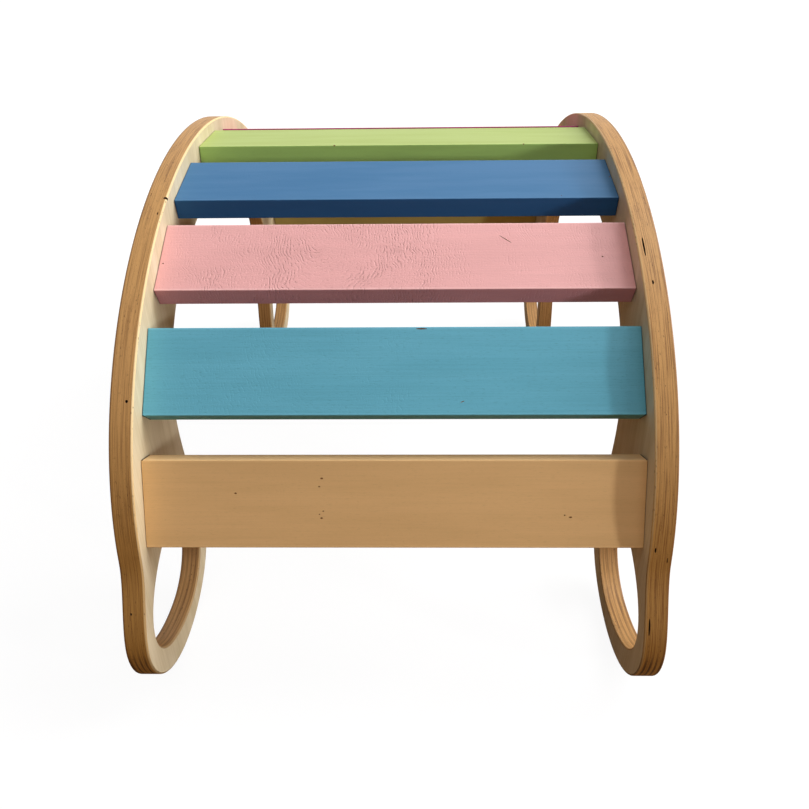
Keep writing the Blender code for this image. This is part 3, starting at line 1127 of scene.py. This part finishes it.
@dataclass(frozen=True)
class Slat:
    """One flat slat between the sides, with its long edges rounded over."""

    arch: Arch
    number: int
    name: str
    finish: BoardFinish
    nicks: tuple[Hollow, ...] = ()
    edge_round: float = 0.0009
    edge_segments: int = 5
    end_break: float = 0.00025
    end_segments: int = 2
    end_gap: float = 0.00005

    @property
    def length(self) -> float:
        """Length between the joints at the sides."""
        return self.arch.slat_length - 2 * self.end_gap

    def mesh(self) -> Mesh:
        """Shape the slat and cut the nicks out of its outer face.

        Returns:
            The mesh in place.
        """
        bm = bmesh.new()
        size = (self.length, self.arch.slat_width, self.arch.slat_thickness, 1)
        bmesh.ops.create_cube(bm, size=1, matrix=Matrix.Diagonal(size))
        long_edges = [edge for edge in bm.edges if edge.calc_length() > NEARLY * self.length]
        round_edges(bm, long_edges, self.edge_round, self.edge_segments)
        round_edges(bm, [edge for edge in bm.edges if self.is_end(edge)], self.end_break, self.end_segments)
        if self.nicks:
            bm = carve(bm, [self.nick_matrix(nick) for nick in self.nicks])
        bmesh.ops.transform(bm, matrix=self.arch.slat_matrix(self.number), verts=bm.verts)
        return finish_mesh(self.name, bm)

    def nick_matrix(self, nick: Hollow) -> Matrix:
        """Place a nick on the outer face of the flat slat.

        Args:
            nick: The nick.

        Returns:
            Placement and half sizes of its cutter.
        """
        x, across = (value * MM for value in nick.place)
        half = Matrix.Diagonal((nick.length * MM / 2, nick.width * MM / 2, nick.depth * MM, 1))
        top = Matrix.Translation((x, across, self.arch.slat_thickness / 2))
        return top @ Matrix.Rotation(math.radians(nick.turn), 4, "Z") @ half

    def is_end(self, edge: BMEdge) -> bool:
        """Tell the edges round the slat's ends.

        Args:
            edge: An edge of the flat slat.

        Returns:
            Whether it lies between an end and a face or a rounding.
        """
        ends = [abs(abs(vert.co.x) - self.length / 2) < 0.01 * MM for vert in edge.verts]
        upright = [face for face in edge.link_faces if abs(face.normal.x) > NEARLY]
        return all(ends) and len(edge.link_faces) == 2 and len(upright) == 1

    def build(self, bare: Material) -> Object:
        """Build and coat the slat.

        Args:
            bare: Material inside the nicks.

        Returns:
            The finished slat.
        """
        material = self.finish.material(self.arch, self.arch.slat_matrix(self.number))
        return add_piece(self.name, self.mesh(), [material, bare], self.finish.slot)


@dataclass(frozen=True)
class ZincFinish:
    """Bright zinc plating on steel screws: a pale metal with a faint satin grain."""

    light: str = "C9C8C4"
    dark: str = "8F8E8A"
    roughness: float = 0.32
    grit: float = 0.4 * MM

    def material(self) -> Material:
        """Mix the plating.

        Returns:
            The material.
        """
        shade = Shade("zinc_plated_steel_satin")
        add = shade.add
        speckle = add(Kind.NOISE, add(Kind.COORDINATES).outputs["Object"], 1 / self.grit, 3, 0.6)
        share = add(Kind.SMOOTH, speckle, 0.3, 0.8, 0.0, 0.35)
        return shade.finish(
            Base_Color=add(Kind.MIX, share, linear(self.light), linear(self.dark)), Metallic=1.0,
            Roughness=add(Kind.SMOOTH, speckle, 0.3, 0.7, self.roughness - 0.06, self.roughness + 0.08))


@dataclass(frozen=True)
class Screw:
    """A confirmat screw with a countersunk head and a hexagon socket."""

    arch: Arch
    number: int
    side: Side
    letter: str
    head_radius: float = 0.005
    shank_radius: float = 0.0035
    cone: float = 0.003
    length: float = 0.050
    point: float = 0.005
    socket_flats: float = 0.004
    socket_depth: float = 0.0028
    drill_slope: float = 1 / 3
    tip: float = 1 / 20
    edge_break: float = 0.0003
    sides: int = 24
    smooth_below: float = 35

    @property
    def name(self) -> str:
        """Name of the CAD node it stands for."""
        return f"screw_{self.side.name.lower()}_{self.number}{self.letter}"

    def ring(self, bm: BMesh, radius: float, height: float, hexagon: bool = False) -> list[BMEdge]:
        """Add one ring of the screw.

        Args:
            bm: The mesh to add to.
            radius: Radius, or half the distance across the flats of a hexagon.
            height: Height above the head's face.
            hexagon: Whether it has the shape of the socket.

        Returns:
            The edges of the ring.
        """
        made = bmesh.ops.create_circle(bm, cap_ends=False, radius=radius, segments=self.sides)
        for vert in made["verts"]:
            vert.co.z = height
            if hexagon:
                angle = math.atan2(vert.co.y, vert.co.x) % (math.pi / 3) - math.pi / 6
                vert.co.xy = vert.co.xy / math.cos(angle)
        inside = set(made["verts"])
        return [edge for edge in bm.edges if edge.verts[0] in inside and edge.verts[1] in inside]

    def mesh(self) -> Mesh:
        """Turn the screw from its rings.

        Returns:
            The mesh in place, with its head at the side's outer face.
        """
        bm = bmesh.new()
        flats = self.socket_flats / 2
        rings = [
            self.ring(bm, flats * self.tip, -self.socket_depth - flats * self.drill_slope),
            self.ring(bm, flats, -self.socket_depth, True),
            self.ring(bm, flats, -self.edge_break / 2, True),
            self.ring(bm, flats + self.edge_break / 2, 0, True),
            self.ring(bm, self.head_radius - self.edge_break, 0),
            self.ring(bm, self.head_radius, -self.edge_break),
            self.ring(bm, self.shank_radius, -self.cone - self.edge_break),
            self.ring(bm, self.shank_radius, self.point - self.length),
            self.ring(bm, self.shank_radius * self.tip, -self.length),
        ]
        for first, second in zip(rings, rings[1:]):
            bmesh.ops.bridge_loops(bm, edges=first + second)
        bmesh.ops.holes_fill(bm, edges=rings[0] + rings[-1], sides=self.sides)
        x = self.side.value * (self.arch.outer_face - self.arch.screw_sink)
        end = -1 if self.letter == "a" else 1
        place = Matrix.Translation((x, *self.arch.screw_place(self.number, end)))
        turn = Matrix.Rotation(self.side.value * math.pi / 2, 4, "Y")
        bmesh.ops.transform(bm, matrix=place @ turn, verts=bm.verts)
        bmesh.ops.recalc_face_normals(bm, faces=bm.faces)
        mesh = take_mesh(self.name, bm)
        mesh.shade_smooth()
        mesh.set_sharp_from_angle(angle=math.radians(self.smooth_below))
        return mesh

    def build(self, material: Material) -> Object:
        """Build the screw in its finish."""
        return add_piece(self.name, self.mesh(), [material], Slot.ZINC)


@dataclass(frozen=True)
class Lamp:
    """An upright oblong lamp, in metres, aimed at the middle of the rocker.

    way is the direction from the rocker to the lamp. share is the light that it
    gives a facing surface; 1 shows a colour as it is written.
    """

    name: str
    way: tuple[float, float, float]
    distance: float
    size: tuple[float, float]
    share: float
    aim: tuple[float, float, float] = (0, 0, 0.2)

    def build(self) -> None:
        """Hang the lamp."""
        data = bpy.data.lights.new(self.name, "AREA")
        data.shape = "RECTANGLE"
        data.size, data.size_y = self.size
        data.energy = self.share * math.pi ** 2 * self.distance ** 2
        way = Vector(self.way).normalized()
        turned = way.to_track_quat("Z", "Y").to_matrix().to_4x4()
        place = Matrix.Translation(Vector(self.aim) + way * self.distance) @ turned
        add_object(self.name, data).matrix_world = place


@dataclass(frozen=True)
class Studio:
    """Pale floor, soft light from above and from the right, and the camera of the photograph."""

    eye: tuple[float, float, float] = (0.0195, -0.8002, 0.5555)
    pitch: float = 31.693
    yaw: float = -1.035
    roll: float = -0.133
    lens: float = 34.485
    sensor: float = 36
    floor_half: float = 9.0
    floor_bounce: str = "80603E"
    floor_lift: float = 0.925
    floor_shading: float = 0.11
    floor_fade: tuple[float, float] = (0.45, 1.0)
    zenith: float = 0.46
    horizon: float = 0.15
    sky: str = "F4F7FF"
    room: str = "E0AC78"
    lamps: tuple[Lamp, ...] = (
        Lamp("window", (0.62, 0.30, 0.71), 7.0, (4.2, 5.6), 0.82),
        Lamp("low_window", (0.93, 0.12, 0.33), 7.0, (4.6, 2.3), 0.54),
        Lamp("key", (0.765, -0.61, 0.18), 2.0, (0.16, 0.16), 0.22),
        Lamp("fill", (0.05, -0.74, 0.67), 3.0, (2.2, 1.6), 0.12),
    )

    def camera(self) -> None:
        """Add the camera, looking down over the near end."""
        down, turn, roll = (math.radians(angle) for angle in (self.pitch, self.yaw, self.roll))
        ahead = Vector((math.sin(turn), math.cos(turn) * math.cos(down), -math.cos(turn) * math.sin(down)))
        level = Vector((math.cos(turn), -math.sin(turn) * math.cos(down), math.sin(turn) * math.sin(down)))
        top = Vector((0, math.sin(down), math.cos(down)))
        right = math.cos(roll) * level + math.sin(roll) * top
        up = math.cos(roll) * top - math.sin(roll) * level
        data = bpy.data.cameras.new("photo_camera")
        data.lens = self.lens
        data.sensor_width = self.sensor
        turned = Matrix((right, up, -ahead)).transposed().to_4x4()
        camera = add_object("photo_camera", data)
        camera.matrix_world = Matrix.Translation(self.eye) @ turned
        bpy.context.scene.camera = camera

    def floor(self) -> None:
        """Add the floor: white to the camera, with the object's shadow kept faintly."""
        bm = bmesh.new()
        bmesh.ops.create_grid(bm, x_segments=1, y_segments=1, size=self.floor_half)
        floor = add_object("floor", take_mesh("floor", bm))
        material = bpy.data.materials.new("pale_floor")
        material.use_nodes = True
        tree = material.node_tree
        tree.nodes.remove(tree.nodes["Principled BSDF"])
        seen = add_node(tree, Kind.LIGHT_PATH).outputs["Is Camera Ray"]
        plain = add_node(tree, Kind.DIFFUSE, linear(self.floor_bounce))
        faint = add_node(tree, Kind.DIFFUSE, (self.floor_shading,) * 3 + (1,))
        away = add_node(tree, Kind.LENGTH, add_node(tree, Kind.COORDINATES).outputs["Object"])
        lift = add_node(tree, Kind.SMOOTH, away, *self.floor_fade, self.floor_lift, 1.0)
        glow = add_node(tree, Kind.GLOW, (1, 1, 1, 1), lift)
        choice = add_node(tree, Kind.EITHER, seen, plain, add_node(tree, Kind.BOTH, faint, glow))
        feed(tree, tree.nodes["Material Output"].inputs["Surface"], choice)
        floor.data.materials.append(material)

    def world(self) -> None:
        """Set the surroundings: white to the camera, and soft light that is strongest overhead."""
        world = bpy.data.worlds.new("studio")
        bpy.context.scene.world = world
        world.use_nodes = True
        tree = world.node_tree
        background = tree.nodes["Background"]
        path = add_node(tree, Kind.LIGHT_PATH)
        seen = path.outputs["Is Camera Ray"]
        for ray in ("Is Glossy Ray", "Is Transmission Ray"):
            seen = add_node(tree, Kind.MAXIMUM, seen, path.outputs[ray])
        way = add_node(tree, Kind.COORDINATES).outputs["Generated"]
        rise = add_node(tree, Kind.SPLIT, way).outputs["Z"]
        dome = add_node(tree, Kind.SMOOTH, rise, 0.0, 1.0, self.horizon, self.zenith)
        tint = add_node(tree, Kind.MIX, rise, linear(self.room), linear(self.sky))
        feed(tree, background.inputs["Color"], add_node(tree, Kind.MIX, seen, tint, (1, 1, 1, 1)))
        feed(tree, background.inputs["Strength"], add_node(tree, Kind.BETWEEN, seen, dome, 1.0))

    def build(self) -> None:
        """Set up the whole studio."""
        self.camera()
        self.floor()
        self.world()
        for lamp in self.lamps:
            lamp.build()
        bpy.context.scene.view_settings.view_transform = "Standard"


SLATS: tuple[tuple[str, BoardFinish, tuple[Hollow, ...]], ...] = (
    ("slat_1_natural", BoardFinish(
        Slot.PINE, "clear_lacquered_pine", "E5BB81", "ECC690", rings=0.05, relief=0.14, brush=0.14,
        pores=0.16, joint_shadow=0.0, open_edge=1, seed=0.9), (
        Hollow((-54.6, 20.5), 2.2, 1.3, 0.9),
        Hollow((-56.5, 14.0), 1.6, 1.0, 0.8),
        Hollow((-55.3, -11.0), 2.2, 1.3, 0.9),
        Hollow((-53.8, -5.4), 1.4, 1.0, 0.8),
        Hollow((-56.8, -8.0), 1.2, 0.9, 0.7),
        Hollow((-120.9, 8.8), 2.0, 1.3, 0.8),
        Hollow((135.5, -10.2), 2.6, 1.1, 0.8),
        Hollow((131.0, -8.6), 1.4, 1.0, 0.7),
    )),
    ("slat_2_teal", BoardFinish(
        Slot.TEAL, "satin_paint", "63B2CA", "5EA8B4", rings=0.06, relief=0.30, brush=0.34, pores=0.34,
        open_edge=-1, seed=0.2), (
        Hollow((22.0, 33.4), 9.0, 1.2, 0.8),
        Hollow((53.0, -24.5), 3.2, 0.7, 0.4, 20),
    )),
    ("slat_3_pink", BoardFinish(
        Slot.PINK, "satin_paint", "EDB1AF", "D4929A", rings=0.40, relief=1.0, relief_depth=0.5 * MM,
        brush=0.10, arris_highlight=0.9, seed=0.35), (
        Hollow((91.6, 17.0), 13.0, 0.7, 0.4, -40),
        Hollow((169.2, -2.2), 1.5, 1.2, 0.8),
        Hollow((-189.0, -7.0), 1.2, 1.2, 0.8),
    )),
    ("slat_4_blue", BoardFinish(
        Slot.BLUE, "satin_paint", "3F75A2", "215A8E", rings=0.06, relief=0.20, brush=0.14, seed=0.5), (
        Hollow((143.3, -31.0), 1.0, 0.8, 0.5),
        Hollow((190.4, 1.9), 3.0, 0.6, 0.4, 80),
    )),
    ("slat_5_lime", BoardFinish(
        Slot.LIME, "satin_paint", "B1C470", "AED776", rings=0.06, relief=0.15, brush=0.12, arris_highlight=0.9,
        seed=0.65), (
        Hollow((-61.0, -34.4), 2.2, 1.6, 1.6),
        Hollow((120.9, -34.6), 1.6, 1.2, 1.2),
    )),
    ("slat_6_magenta", BoardFinish(
        Slot.MAGENTA, "satin_paint", "DA5C92", "B84878", rings=0.08, relief=0.25, brush=0.15,
        seed=1.1), ()),
    ("slat_7_orange", BoardFinish(
        Slot.ORANGE, "satin_paint", "E59A5C", "C98048", rings=0.12, relief=0.30, brush=0.15, seed=1.3), ()),
    ("slat_8_lilac", BoardFinish(
        Slot.LILAC, "satin_paint", "A893C8", "8C78AE", rings=0.12, relief=0.30, brush=0.15, seed=1.5), ()),
    ("slat_9_yellow", BoardFinish(
        Slot.YELLOW, "satin_paint", "C8BA70", "A89C5C", rings=0.10, relief=0.25, brush=0.15, seed=1.7), ()),
)


def main() -> None:
    """Build every piece of the rocker and the studio round it."""
    logging.basicConfig(level=logging.INFO, format="%(name)s: %(message)s")
    Studio().build()
    arch = Arch()
    face = VeneerFinish().material()
    edge = PlyEdgeFinish(inner_face=arch.gap / 2, thickness=arch.thickness).material()
    # Very dark inside the open voids: painted shade.
    void = BareWoodFinish("open_void_in_birch_ply", "4A3018", "20140A").material()
    for side in Side:
        SidePanel(arch, side).build(face, edge, void)
    bare = BareWoodFinish("bare_pine_under_paint", "A06E42", "6A4222").material()
    for number, (name, coat, nicks) in enumerate(SLATS, start=1):
        Slat(arch, number, name, coat, nicks).build(bare)
    zinc = ZincFinish().material()
    for side in Side:
        for number in range(1, len(SLATS) + 1):
            for letter in "ab":
                Screw(arch, number, side, letter).build(zinc)


if __name__ == "__main__":
    main()
